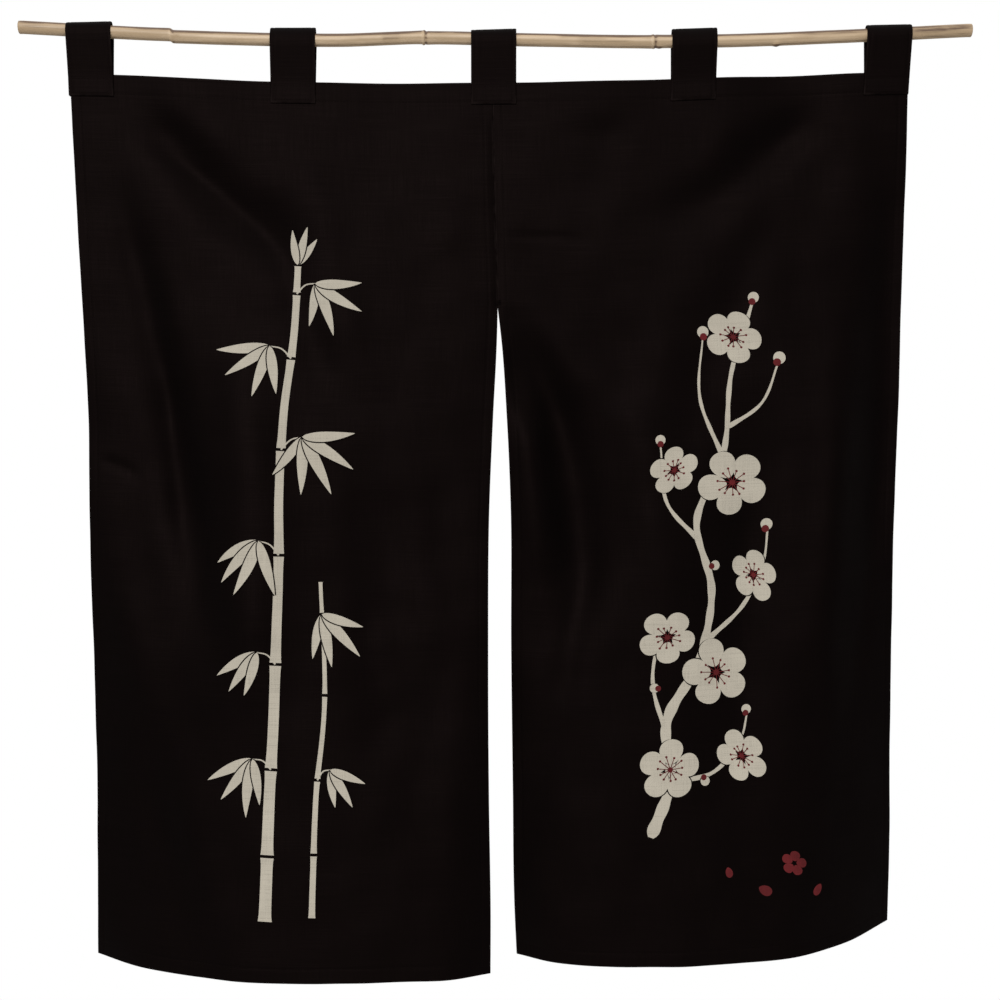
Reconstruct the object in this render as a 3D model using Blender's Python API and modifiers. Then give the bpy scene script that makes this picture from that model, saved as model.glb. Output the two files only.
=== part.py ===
"""Noren curtain: two dark cotton panels hung by five sewn tabs on a thin bamboo rod.

Metres, +Z up. The curtain hangs along X with its front towards -Y, and +X is to the right.
The origin is on the rod's axis at the curtain's mid width. A drop is a distance below it.
"""

import math
from collections import namedtuple

import bmesh
import bpy
import numpy as np

OBJECT_NAME = "noren_curtain"

# Cloth and sewing
PANEL_THICKNESS = 0.0012
TAB_THICKNESS = 0.0014
TAB_WIDTH = 0.0450
TAB_OVERLAP = 0.0215
TAB_CREASE_RADIUS = 0.0018
CLEARANCE = 0.0003
SEWN_CLEARANCE = 0.0004
ROD_CLEARANCE = 0.0005
SLIT_HEAD_DROP = 0.2690

# Bamboo rod
ROD_LEFT = -0.4760
ROD_RIGHT = 0.4884
ROD_RADIUS = 0.0065
ROD_END_LENGTH = 0.0040
JOINT_SWELL = 0.12
JOINT_HALF_WIDTH = 0.0030
JOINTS = (-0.3211, -0.0660, 0.1659)

# Steps of the meshes
PANEL_COLUMNS = 30
PANEL_ROWS = 31
FINE_COLUMNS = 120
TAB_COLUMNS = 6
ARC_STEPS = 7
CREASE_STEPS = 3
ROD_STEP = 0.0270
ROD_SIDES_RESOLUTION = 6

# The rod's axis, which bends a little at the joints of the cane
RodPoint = namedtuple("RodPoint", "x depth height")
ROD_AXIS = (
    RodPoint(-0.476, 0.0012, 0.0122),
    RodPoint(-0.404, 0.0004, 0.0078),
    RodPoint(-0.321, -0.0010, 0.0028),
    RodPoint(-0.240, -0.0004, -0.0003),
    RodPoint(-0.150, 0.0006, -0.0013),
    RodPoint(-0.066, 0.0012, 0.0015),
    RodPoint(0.041, 0.0002, -0.0011),
    RodPoint(0.166, -0.0010, -0.0032),
    RodPoint(0.250, -0.0004, -0.0019),
    RodPoint(0.345, 0.0006, 0.0020),
    RodPoint(0.488, 0.0014, 0.0090),
)

# The top edge, which sags towards the middle
TopPoint = namedtuple("TopPoint", "x drop")
TOP_EDGE = (
    TopPoint(-0.424, 0.0358),
    TopPoint(-0.372, 0.0370),
    TopPoint(-0.300, 0.0414),
    TopPoint(-0.210, 0.0438),
    TopPoint(-0.097, 0.0449),
    TopPoint(0.004, 0.0447),
    TopPoint(0.106, 0.0438),
    TopPoint(0.207, 0.0403),
    TopPoint(0.305, 0.0366),
    TopPoint(0.372, 0.0350),
    TopPoint(0.424, 0.0341),
)

# The two outer edges and the line of the centre seam
Edge = namedtuple("Edge", "drop left seam right")
EDGES = (
    Edge(0.036, -0.4244, 0.0029, 0.4240),
    Edge(0.163, -0.4193, 0.0054, 0.4252),
    Edge(0.268, -0.4145, 0.0085, 0.4255),
    Edge(0.375, -0.4099, 0.0085, 0.4260),
    Edge(0.530, -0.4086, 0.0085, 0.4240),
    Edge(0.715, -0.4054, 0.0085, 0.4262),
    Edge(0.850, -0.4055, 0.0085, 0.4292),
    Edge(0.946, -0.4063, 0.0085, 0.4290),
)

# How far each panel stands back from the seam line below the head of the slit
Opening = namedtuple("Opening", "below left right")
SLIT_OPENING = (
    Opening(0.000, 0.0000, 0.0000),
    Opening(0.050, 0.0016, 0.0054),
    Opening(0.120, 0.0050, 0.0100),
    Opening(0.210, 0.0086, 0.0137),
    Opening(0.350, 0.0096, 0.0142),
    Opening(0.500, 0.0088, 0.0160),
    Opening(0.620, 0.0070, 0.0176),
    Opening(0.680, 0.0072, 0.0203),
)

# The hems, seen from below: across runs from a panel's left edge to its right edge,
# curl grows from the top edge down, and turn grows from the head of the slit down
HemPoint = namedtuple("HemPoint", "across curl turn drop")
HEMS = {
    "left": (
        HemPoint(0.00, 0.038, 0.000, 0.9371),
        HemPoint(0.11, 0.012, 0.000, 0.9417),
        HemPoint(0.24, -0.010, 0.000, 0.9442),
        HemPoint(0.37, -0.026, 0.000, 0.9456),
        HemPoint(0.51, -0.033, 0.000, 0.9460),
        HemPoint(0.66, -0.030, -0.002, 0.9460),
        HemPoint(0.80, -0.021, -0.006, 0.9460),
        HemPoint(0.90, -0.011, -0.009, 0.9463),
        HemPoint(1.00, 0.000, 0.000, 0.9459),
    ),
    "right": (
        HemPoint(0.00, 0.000, 0.054, 0.9430),
        HemPoint(0.08, 0.002, 0.034, 0.9452),
        HemPoint(0.15, 0.006, 0.020, 0.9456),
        HemPoint(0.24, 0.011, 0.009, 0.9458),
        HemPoint(0.34, 0.016, 0.003, 0.9457),
        HemPoint(0.45, 0.020, 0.000, 0.9456),
        HemPoint(0.58, 0.027, 0.000, 0.9440),
        HemPoint(0.74, 0.040, 0.000, 0.9407),
        HemPoint(0.88, 0.069, 0.000, 0.9338),
        HemPoint(1.00, 0.101, 0.000, 0.9205),
    ),
}

# Soft troughs (depth above zero, away from the viewer) and ridges (below zero) in each
# panel, from one end to the other, bowed sideways at the middle
Fold = namedtuple("Fold", "x0 drop0 x1 drop1 bow depth width0 width1")
FOLDS = {
    "left": (
        Fold(-0.396, 0.090, -0.287, 0.640, 0.016, 0.0150, 0.018, 0.026),
        Fold(-0.366, 0.050, -0.170, 0.245, -0.010, 0.0110, 0.018, 0.034),
        Fold(-0.250, 0.270, -0.240, 0.720, 0.006, -0.0130, 0.032, 0.038),
        Fold(-0.115, 0.390, -0.098, 0.780, 0.008, 0.0100, 0.030, 0.040),
        Fold(-0.345, 0.640, -0.305, 0.940, -0.006, 0.0070, 0.026, 0.032),
        Fold(-0.060, 0.470, -0.050, 0.900, 0.000, -0.0050, 0.026, 0.030),
    ),
    "right": (
        Fold(0.016, 0.262, 0.084, 0.640, 0.034, 0.0190, 0.020, 0.034),
        Fold(0.040, 0.335, 0.062, 0.560, -0.006, -0.0070, 0.014, 0.022),
        Fold(0.356, 0.052, 0.130, 0.215, 0.008, 0.0100, 0.018, 0.036),
        Fold(0.180, 0.270, 0.170, 0.700, -0.010, -0.0080, 0.034, 0.040),
        Fold(0.262, 0.330, 0.240, 0.860, 0.012, 0.0100, 0.034, 0.042),
        Fold(0.335, 0.230, 0.330, 0.740, 0.010, -0.0110, 0.034, 0.040),
        Fold(0.412, 0.085, 0.405, 0.600, 0.000, 0.0110, 0.020, 0.026),
    ),
}
FOLD_FADE = 0.34

# The tabs, with the outside top of each above the rod's axis at its left and right edge
Tab = namedtuple("Tab", "name top_x bottom_x rise_left rise_right")
TABS = (
    Tab("tab_1", -0.4050, -0.4027, 0.0095, 0.0138),
    Tab("tab_2", -0.1984, -0.1984, 0.0143, 0.0153),
    Tab("tab_3", 0.0046, 0.0046, 0.0104, 0.0136),
    Tab("tab_4", 0.2077, 0.2067, 0.0150, 0.0160),
    Tab("tab_5", 0.4048, 0.4020, 0.0126, 0.0112),
)

# How far the top edge bows away from the viewer between neighbouring tabs
SWAGS = (-0.0045, 0.0030, -0.0035, 0.0060)
SWAG_REACH = 0.110

COTTON = (0.0065, 0.0046, 0.0043, 1.0)
BAMBOO = (0.4300, 0.3200, 0.2150, 1.0)


def clear_scene():
    for item in list(bpy.data.objects):
        bpy.data.objects.remove(item, do_unlink=True)


def make_collection(name):
    collection = bpy.data.collections.new(name)
    bpy.context.scene.collection.children.link(collection)
    return collection


def make_material(name, colour, roughness):
    material = bpy.data.materials.new(name)
    material.use_nodes = True
    shader = material.node_tree.nodes["Principled BSDF"]
    shader.inputs["Base Color"].default_value = colour
    shader.inputs["Roughness"].default_value = roughness
    shader.inputs["Metallic"].default_value = 0.0
    return material


def smooth_step(value):
    t = np.clip(value, 0.0, 1.0)
    return t * t * (3.0 - 2.0 * t)


def look_up(table, key, column, at):
    """Read a column of a table at any key, on the smooth curve through its rows."""
    keys = np.array([getattr(row, key) for row in table])
    values = np.array([getattr(row, column) for row in table])
    slopes = np.gradient(values, keys)
    at = np.clip(at, keys[0], keys[-1])
    i = np.clip(np.searchsorted(keys, at, side="right") - 1, 0, len(keys) - 2)
    step = keys[i + 1] - keys[i]
    t = (at - keys[i]) / step
    start = values[i] * (1.0 + 2.0 * t) * (1.0 - t) ** 2 + slopes[i] * step * t * (1.0 - t) ** 2
    end = values[i + 1] * t * t * (3.0 - 2.0 * t) + slopes[i + 1] * step * t * t * (t - 1.0)
    return start + end


def top_drop(x):
    return look_up(TOP_EDGE, "x", "drop", x)


def panel_sides(side, drop):
    """Left and right edge of a panel at a drop."""
    seam = look_up(EDGES, "drop", "seam", drop)
    opening = look_up(SLIT_OPENING, "below", side, drop - SLIT_HEAD_DROP)
    if side == "left":
        return look_up(EDGES, "drop", "left", drop), seam - opening - CLEARANCE / 2
    return seam + opening + CLEARANCE / 2, look_up(EDGES, "drop", "right", drop)


def fold_depth(fold, x, drop):
    run_x = fold.x1 - fold.x0
    run_drop = fold.drop1 - fold.drop0
    length = math.hypot(run_x, run_drop)
    along = ((x - fold.x0) * run_x + (drop - fold.drop0) * run_drop) / length ** 2
    aside = ((x - fold.x0) * run_drop - (drop - fold.drop0) * run_x) / length
    aside = aside - fold.bow * 4.0 * along * (1.0 - along)
    width = fold.width0 + (fold.width1 - fold.width0) * np.clip(along, 0.0, 1.0)
    fade = smooth_step(along / FOLD_FADE) * smooth_step((1.0 - along) / FOLD_FADE)
    return fold.depth * np.exp(-(aside / width) ** 2) * fade


def swag_depth(x, drop):
    """Bow of the cloth between neighbouring tabs, which fades below the top edge."""
    total = np.zeros_like(x)
    for before, after, depth in zip(TABS, TABS[1:], SWAGS):
        start = before.bottom_x + TAB_WIDTH / 2
        end = after.bottom_x - TAB_WIDTH / 2
        t = np.clip((x - start) / (end - start), 0.0, 1.0)
        total = total + depth * np.sin(math.pi * t) ** 2
    return total * np.exp(-((drop - top_drop(x)) / SWAG_REACH) ** 2)


def cloth_depth(side, across, down, x, drop):
    """How far the middle of the cloth lies behind the rod's axis."""
    hem = HEMS[side]
    slit_length = look_up(hem, "across", "drop", across) - SLIT_HEAD_DROP
    below_head = np.clip((drop - SLIT_HEAD_DROP) / slit_length, 0.0, 1.0)
    depth = look_up(hem, "across", "curl", across) * down
    depth = depth + look_up(hem, "across", "turn", across) * below_head
    for fold in FOLDS[side]:
        depth = depth + fold_depth(fold, x, drop)
    return depth + swag_depth(x, drop)


def panel_row(side, across, down):
    """Points of a panel at the fraction down of its height, at each fraction across."""
    hem_drop = look_up(HEMS[side], "across", "drop", across)
    drop = down * hem_drop
    for _ in range(4):
        left, right = panel_sides(side, drop)
        x = left + (right - left) * across
        drop = top_drop(x) + down * (hem_drop - top_drop(x))
    return np.stack((x, cloth_depth(side, across, down, x, drop), -drop), axis=-1)


def panel_grid(side):
    """Rows of points that are evenly spaced along the cloth."""
    fine = np.linspace(0.0, 1.0, FINE_COLUMNS + 1)
    rows = []
    for down in np.linspace(0.0, 1.0, PANEL_ROWS + 1):
        steps = np.linalg.norm(np.diff(panel_row(side, fine, down), axis=0), axis=1)
        lengths = np.concatenate(((0.0,), np.cumsum(steps)))
        even = np.interp(np.linspace(0.0, lengths[-1], PANEL_COLUMNS + 1), lengths, fine)
        rows.append(panel_row(side, even, down))
    return rows


def depth_at(x, drop):
    """Depth of the middle of the cloth at a place seen from the front."""
    side = "left" if x < look_up(EDGES, "drop", "seam", drop) else "right"
    left, right = panel_sides(side, drop)
    across = np.clip((x - left) / (right - left), 0.0, 1.0)
    down = (drop - top_drop(x)) / (look_up(HEMS[side], "across", "drop", across) - top_drop(x))
    return cloth_depth(side, across, down, x, drop)


def rod_axis(x):
    """Depth and height of the rod's axis, level in the last bit at each end."""
    x = np.clip(x, ROD_LEFT + ROD_END_LENGTH, ROD_RIGHT - ROD_END_LENGTH)
    return look_up(ROD_AXIS, "x", "depth", x), look_up(ROD_AXIS, "x", "height", x)


def leg_points(x, rise, facing):
    """Half of a tab's section, from the sewn end to the crease over the rod.

    Each point is (depth, height). The facing is -1 in front of the cloth and 1 behind it.
    """
    axis_depth, axis_height = rod_axis(x)
    edge_drop = top_drop(x)
    spacing = facing * (PANEL_THICKNESS / 2 + SEWN_CLEARANCE + TAB_THICKNESS / 2)
    points = []
    for overlap in (TAB_OVERLAP, TAB_OVERLAP / 2, 0.0):
        drop = edge_drop + overlap
        points.append((depth_at(x, drop) + spacing, -drop))

    radius = ROD_RADIUS + ROD_CLEARANCE + TAB_THICKNESS / 2
    lowest = points[-1]
    out = facing * (lowest[0] - axis_depth)
    below = lowest[1] - axis_height
    leg_angle = math.atan2(out, below) - math.acos(radius / math.hypot(out, below))

    crease_height = rise - TAB_CREASE_RADIUS - TAB_THICKNESS / 2
    crease_angle = math.acos(min(1.0, (radius - TAB_CREASE_RADIUS) / crease_height))
    for angle in np.linspace(leg_angle, crease_angle, ARC_STEPS + 1):
        points.append((axis_depth + facing * radius * math.sin(angle),
                       axis_height + radius * math.cos(angle)))
    for angle in np.linspace(crease_angle, 0.0, CREASE_STEPS + 1)[1 if crease_angle < 0.2 else 0:]:
        points.append((axis_depth + facing * TAB_CREASE_RADIUS * math.sin(angle),
                       axis_height + crease_height + TAB_CREASE_RADIUS * math.cos(angle)))
    return points


def tab_grid(tab):
    """Columns of points over the rod, from the front end of the strap to its back end."""
    columns = []
    for shift in np.linspace(-TAB_WIDTH / 2, TAB_WIDTH / 2, TAB_COLUMNS + 1):
        rise = tab.rise_left + (tab.rise_right - tab.rise_left) * (shift / TAB_WIDTH + 0.5)
        front = leg_points(tab.bottom_x + shift, rise, -1)
        back = leg_points(tab.bottom_x + shift, rise, 1)
        section = front + back[-2::-1]
        reach = section[len(front) - 1][1] - section[0][1]
        column = []
        for depth, height in section:
            lean = (tab.top_x - tab.bottom_x) * (height - section[0][1]) / reach
            column.append((tab.bottom_x + shift + lean, depth, height))
        columns.append(column)
    return columns


def add_sheet(name, grid, thickness, collection, material):
    """Loft a grid of points into an open surface and give it its thickness."""
    mesh = bpy.data.meshes.new(name)
    draft = bmesh.new()
    rows = [[draft.verts.new(point) for point in row] for row in grid]
    for row, below in zip(rows, rows[1:]):
        for i in range(len(row) - 1):
            draft.faces.new((row[i], below[i], below[i + 1], row[i + 1]))
    draft.to_mesh(mesh)
    draft.free()
    mesh.shade_smooth()
    mesh.materials.append(material)
    sheet = bpy.data.objects.new(name, mesh)
    collection.objects.link(sheet)
    solidify = sheet.modifiers.new("thickness", "SOLIDIFY")
    solidify.thickness = thickness
    solidify.offset = 0.0
    solidify.use_even_offset = True
    return sheet


def rod_stations():
    """Places along the rod: an even run, with more at each joint of the cane."""
    count = round((ROD_RIGHT - ROD_LEFT) / ROD_STEP)
    even = np.linspace(ROD_LEFT + ROD_END_LENGTH, ROD_RIGHT - ROD_END_LENGTH, count)
    near = 2.5 * JOINT_HALF_WIDTH
    stations = [x for x in even if min(abs(x - joint) for joint in JOINTS) > 2.0 * near]
    for joint in JOINTS:
        stations += list(joint + np.linspace(-near, near, 7))
    return [ROD_LEFT] + sorted(stations) + [ROD_RIGHT]


def joint_swell(x):
    return sum(JOINT_SWELL * math.exp(-((x - joint) / JOINT_HALF_WIDTH) ** 2) for joint in JOINTS)


def add_rod(collection, material):
    curve = bpy.data.curves.new("rod", "CURVE")
    curve.dimensions = "3D"
    curve.bevel_depth = ROD_RADIUS
    curve.bevel_resolution = ROD_SIDES_RESOLUTION
    curve.use_fill_caps = True
    curve.materials.append(material)
    stations = rod_stations()
    spline = curve.splines.new("POLY")
    spline.points.add(len(stations) - 1)
    for point, x in zip(spline.points, stations):
        depth, height = rod_axis(x)
        point.co = (x, depth, height, 1.0)
        point.radius = 1.0 + joint_swell(x)
    rod = bpy.data.objects.new("rod", curve)
    collection.objects.link(rod)
    return rod


def main():
    clear_scene()
    collection = make_collection(OBJECT_NAME)
    for side in ("left", "right"):
        cotton = make_material("cotton_panel_" + side, COTTON, 0.95)
        add_sheet("panel_" + side, panel_grid(side), PANEL_THICKNESS, collection, cotton)
    for tab in TABS:
        cotton = make_material("cotton_" + tab.name, COTTON, 0.95)
        add_sheet(tab.name, tab_grid(tab), TAB_THICKNESS, collection, cotton)
    add_rod(collection, make_material("bamboo", BAMBOO, 0.45))


main()
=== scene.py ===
import random
from collections import namedtuple
from functools import partial
from math import acos, atan2, ceil, cos, hypot, pi, radians, sin

import bpy
import numpy as np
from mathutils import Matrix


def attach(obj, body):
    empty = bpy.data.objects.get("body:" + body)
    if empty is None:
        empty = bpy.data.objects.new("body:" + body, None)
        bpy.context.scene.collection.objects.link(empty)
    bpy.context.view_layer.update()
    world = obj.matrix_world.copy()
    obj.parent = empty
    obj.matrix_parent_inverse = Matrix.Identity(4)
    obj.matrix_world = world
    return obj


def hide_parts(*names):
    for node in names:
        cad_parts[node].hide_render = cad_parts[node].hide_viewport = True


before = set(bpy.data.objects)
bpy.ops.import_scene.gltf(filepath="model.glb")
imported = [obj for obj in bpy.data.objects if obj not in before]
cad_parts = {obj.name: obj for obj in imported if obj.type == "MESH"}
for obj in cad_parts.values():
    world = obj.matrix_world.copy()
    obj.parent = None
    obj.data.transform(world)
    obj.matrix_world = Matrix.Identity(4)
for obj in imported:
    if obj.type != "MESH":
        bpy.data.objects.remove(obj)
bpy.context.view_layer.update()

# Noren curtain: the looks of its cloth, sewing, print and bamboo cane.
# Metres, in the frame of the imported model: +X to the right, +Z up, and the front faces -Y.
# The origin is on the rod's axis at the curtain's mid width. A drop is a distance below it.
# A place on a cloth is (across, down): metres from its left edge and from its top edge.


def table(columns, *rows):
    """Rows whose columns have names, in metres where nothing else is said."""
    row = namedtuple("Row", columns)
    return [row(*values) for values in rows]


def in_metres(*rows):
    """Rows of numbers that are written in millimetres."""
    return [[value / 1000 for value in row] for row in rows]


def smooth_curve(keys, values, at):
    """Read the smooth curve through values at any key."""
    slopes = np.gradient(values, keys)
    at = np.clip(at, keys[0], keys[-1])
    i = np.clip(np.searchsorted(keys, at, side="right") - 1, 0, len(keys) - 2)
    step = keys[i + 1] - keys[i]
    t = (at - keys[i]) / step
    start = values[i] * (1 + 2 * t) * (1 - t) ** 2 + slopes[i] * step * t * (1 - t) ** 2
    end = values[i + 1] * t * t * (3 - 2 * t) + slopes[i + 1] * step * t * t * (t - 1)
    return start + end


def curves(keys, **columns):
    """Named curves to call with a key, all written in thousandths: millimetres, or parts of 1."""
    keys = np.array(keys) / 1000
    return {name: partial(smooth_curve, keys, np.array(values) / 1000) for name, values in columns.items()}


# Cloth and sewing, where the solids have them
TAB_THICKNESS = 0.0014
TAB_WIDTH = 0.0450
TAB_OVERLAP = 0.0215
TAB_CREASE_RADIUS = 0.0018
CLEARANCE = 0.0003
ROD_CLEARANCE = 0.0005
SLIT_HEAD_DROP = 0.2690

# The cloth as it was cut and sewn
PANEL_FLAT = (0.425, 0.905)
CLOTH = 0.0007
HEM_LAYERS = 0.0009
HEM_STEP = 0.0010
STRAP = 0.0011
SEWN_GAP = 0.0002
DENT = 0.00025
DENT_WIDTH = 0.0010
EDGE_SHAPE = 0.50
EDGE_ROUND = 0.0004
EDGE_WIDTH = 0.0016
GRID_STEP = 0.0034
FINE_STEP = 0.0004
NEAR_EDGE = (0, 0.0006, 0.0016, 0.0036)
NEAR_STITCH = (-0.0026, -0.0012, 0, 0.0012, 0.0024, 0.0040)
SEAM_GROOVE = 0.0013
SEAM_GROOVE_WIDTH = 0.0045

Hem = namedtuple("Hem", "width stitch")
SIDE_HEM = Hem(0.0110, 0.0092)
TOP_HEM = Hem(0.0210, 0.0190)
BOTTOM_HEM = Hem(0.0160, 0.0140)
TOP_EDGE_STITCH = 0.0026
STRAP_STITCH = 0.0032
STRAP_BOX = (0.0028, 0.0170)
STITCH_INSET = 0.0020

# Bamboo rod
ROD_LEFT = -0.4760
ROD_RIGHT = 0.4884
ROD_RADIUS = 0.0065
ROD_END_LENGTH = 0.0040

# The rod's axis at places x, which bends a little at the joints of the cane
ROD_AXIS = curves(
    (-476, -404, -321, -240, -150, -66, 41, 166, 250, 345, 488),
    depth=(1.2, 0.4, -1, -0.4, 0.6, 1.2, 0.2, -1, -0.4, 0.6, 1.4),
    height=(12.2, 7.8, 2.8, -0.3, -1.3, 1.5, -1.1, -3.2, -1.9, 2, 9))

# The top edge at places x, which sags towards the middle
TOP_EDGE = curves(
    (-424, -372, -300, -210, -97, 4, 106, 207, 305, 372, 424),
    drop=(35.8, 37, 41.4, 43.8, 44.9, 44.7, 43.8, 40.3, 36.6, 35, 34.1))

# The two outer edges and the line of the centre seam at different drops
EDGES = curves(
    (36, 163, 268, 375, 530, 715, 850, 946),
    left=(-424.4, -419.3, -414.5, -409.9, -408.6, -405.4, -405.5, -406.3),
    seam=(2.9, 5.4, 8.5, 8.5, 8.5, 8.5, 8.5, 8.5),
    right=(424, 425.2, 425.5, 426, 424, 426.2, 429.2, 429))

# How far each panel stands back from the seam line, at distances below the head of the slit
SLIT_OPENING = curves(
    (0, 50, 120, 210, 350, 500, 620, 680),
    left=(0, 1.6, 5, 8.6, 9.6, 8.8, 7, 7.2),
    right=(0, 5.4, 10, 13.7, 14.2, 16, 17.6, 20.3))

# The hems, seen from below, at places from a panel's left edge to its right edge:
# curl grows from the top edge down, and turn grows from the head of the slit down
HEMS = {
    "left": curves(
        (0, 110, 240, 370, 510, 660, 800, 900, 1000),
        curl=(38, 12, -10, -26, -33, -30, -21, -11, 0),
        turn=(0, 0, 0, 0, 0, -2, -6, -9, 0),
        drop=(937.1, 941.7, 944.2, 945.6, 946, 946, 946, 946.3, 945.9)),
    "right": curves(
        (0, 80, 150, 240, 340, 450, 580, 740, 880, 1000),
        curl=(0, 2, 6, 11, 16, 20, 27, 40, 69, 101),
        turn=(54, 34, 20, 9, 3, 0, 0, 0, 0, 0),
        drop=(943, 945.2, 945.6, 945.8, 945.7, 945.6, 944, 940.7, 933.8, 920.5)),
}

# Soft troughs and ridges in each panel. Each row holds x and drop of one end and of the
# other, the bow sideways at the middle, the depth (below zero for a ridge, which stands
# towards the viewer), and the half width at each end.
FOLDS = {
    "left": in_metres(
        (-396, 90, -287, 640, 16, 15, 18, 26), (-366, 50, -170, 245, -10, 11, 18, 34),
        (-250, 270, -240, 720, 6, -13, 32, 38), (-115, 390, -98, 780, 8, 10, 30, 40),
        (-345, 640, -305, 940, -6, 7, 26, 32), (-60, 470, -50, 900, 0, -5, 26, 30)),
    "right": in_metres(
        (16, 262, 84, 640, 34, 19, 20, 34), (40, 335, 62, 560, -6, -7, 14, 22),
        (356, 52, 130, 215, 8, 10, 18, 36), (180, 270, 170, 700, -10, -8, 34, 40),
        (262, 330, 240, 860, 12, 10, 34, 42), (335, 230, 330, 740, 10, -11, 34, 40),
        (412, 85, 405, 600, 0, 11, 20, 26)),
}
FOLD_FADE = 0.34

# Creases and shallow waves from handling and from lying folded, too slight for the solids
CREASES = {
    "left": in_metres(
        (-377, 91, -181, 260, 20, 1.4, 8, 9), (-188, 91, -128, 371, 0, -3.6, 23, 24),
        (-382, 111, -297, 392, -6, -3.3, 20, 20), (-40, 116, -52, 231, 11, -2.5, 26, 15),
        (-244, 147, -151, 395, 6, 3.1, 18, 18), (-335, 282, -302, 573, -3, 1.4, 8, 8),
        (-49, 314, -60, 909, 0, 3.6, 22, 30), (-417, 374, -262, 933, -13, -3.6, 30, 30),
        (-49, 405, -132, 918, 39, 3.6, 23, 27), (-402, 425, -352, 446, 3, 1.6, 5, 7),
        (-141, 446, -112, 663, -2, 1.4, 19, 11), (-114, 574, -97, 689, 8, -3.5, 24, 20),
        (-37, 582, -49, 889, -10, 3.6, 27, 22), (-343, 650, -418, 127, -21, 3.6, 29, 22),
        (-396, 694, -340, 940, -5, 3.6, 28, 30)),
    "right": in_metres(
        (380, 50, 311, 373, -22, 3.6, 30, 29), (128, 50, 127, 189, -13, 3.6, 30, 30),
        (366, 50, 141, 536, -18, 3.6, 29, 30), (265, 104, 150, 245, -14, -3.6, 30, 28),
        (35, 178, 235, 459, -3, 3.6, 30, 26), (4, 199, 118, 206, 2, 1.1, 4, 5),
        (368, 211, 346, 861, 0, -3.2, 19, 19), (321, 268, 301, 658, 18, 2.9, 18, 17),
        (24, 295, 70, 425, -14, 1.8, 10, 10), (409, 316, 369, 731, 9, 1.8, 11, 11),
        (101, 341, 133, 555, 11, 3.6, 25, 30), (102, 400, 181, 711, 4, 3.6, 30, 27),
        (116, 463, 14, 940, -1, 3.3, 20, 22), (114, 499, 75, 693, -7, 2.2, 13, 13),
        (134, 793, 257, 940, 0, 3.1, 18, 18)),
}

# Slow waves all over the cloth, in waves to the metre
RIPPLES = table(
    "across down phase height",
    (9.3, 3.1, 0.4, 0.0005),
    (-6.1, 8.7, 2.1, 0.00045),
    (15.7, -5.3, 4, 0.00024),
    (4.9, 17.9, 1.2, 0.00018),
    (22, 7, 5.3, 0.00011),
)
RELIEF_START = 0.040

# The tabs, with the outside top of each above the rod's axis at its left and right edge
TABS = table(
    "name top_x bottom_x rise_left rise_right",
    ("tab_1", -0.405, -0.4027, 0.0095, 0.0138),
    ("tab_2", -0.1984, -0.1984, 0.0143, 0.0153),
    ("tab_3", 0.0046, 0.0046, 0.0104, 0.0136),
    ("tab_4", 0.2077, 0.2067, 0.015, 0.016),
    ("tab_5", 0.4048, 0.402, 0.0126, 0.0112),
)
STRAP_LENGTH = 0.158

# How far the top edge bows away from the viewer between neighbouring tabs
SWAGS = (-0.0045, 0.0030, -0.0035, 0.0060)
SWAG_REACH = 0.110

# Colours, linear
CLOTH_DARK = (0.00095, 0.00060, 0.00056)
CLOTH_LIGHT = (0.00210, 0.00132, 0.00126)
# Paler colour of the painted highlight along the cloth's edges
CLOTH_EDGE_HIGHLIGHT = (0.0060, 0.0041, 0.0038)
CLOTH_GLOSS = (1, 0.66, 0.62)
THREAD = (0.0024, 0.0016, 0.0015)
PRINT_CREAM = (0.528, 0.480, 0.392)
PRINT_RED = (0.135, 0.012, 0.014)
CANE_TAN = (0.525, 0.379, 0.232)
CANE_PALE = (0.680, 0.510, 0.335)
CANE_BROWN = (0.150, 0.088, 0.052)
CANE_WOOD = (0.520, 0.470, 0.385)
# Painted shade inside the bore of each sawn end
CANE_BORE_SHADE = (0.050, 0.036, 0.026)


def smooth_step(value):
    t = np.clip(value, 0, 1)
    return t * t * (3 - 2 * t)


def bell(distance, width):
    """1 at no distance, and next to nothing at twice the width."""
    return np.exp(-(distance / width) ** 2)


def join(*parts):
    """Points from their coordinates, or faces from their corners."""
    return np.stack(parts, axis=-1)


def unit(vectors):
    return vectors / np.linalg.norm(vectors, axis=-1, keepdims=True)


def round_turn(count):
    return np.linspace(0, 2 * pi, count, endpoint=False)


def from_ends(places):
    """Distance of each place from the nearer end of the row."""
    return np.minimum(places, places[-1] - places)


def read_path(path, at):
    """Places on a path at fractions of its length in points."""
    at = at * (len(path) - 1)
    return join(*(np.interp(at, np.arange(len(path)), column) for column in path.T))


def grid_faces(rows, columns):
    index = np.arange(rows * columns).reshape(rows, columns)
    return join(index[:-1, :-1], index[1:, :-1], index[1:, 1:], index[:-1, 1:]).reshape(-1, 4)


def tube_faces(rings, sides):
    """Faces between rings of points that are numbered ring by ring."""
    index = np.arange(rings * sides).reshape(rings, sides)
    after = np.roll(index, -1, axis=1)
    return join(index[:-1], index[1:], after[1:], after[:-1]).reshape(-1, 4)


def top_drop(x):
    return TOP_EDGE["drop"](x)


def panel_sides(side, drop):
    """Left and right edge of a panel at a drop."""
    seam = EDGES["seam"](drop)
    opening = SLIT_OPENING[side](drop - SLIT_HEAD_DROP)
    if side == "left":
        return EDGES["left"](drop), seam - opening - CLEARANCE / 2
    return seam + opening + CLEARANCE / 2, EDGES["right"](drop)


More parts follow.
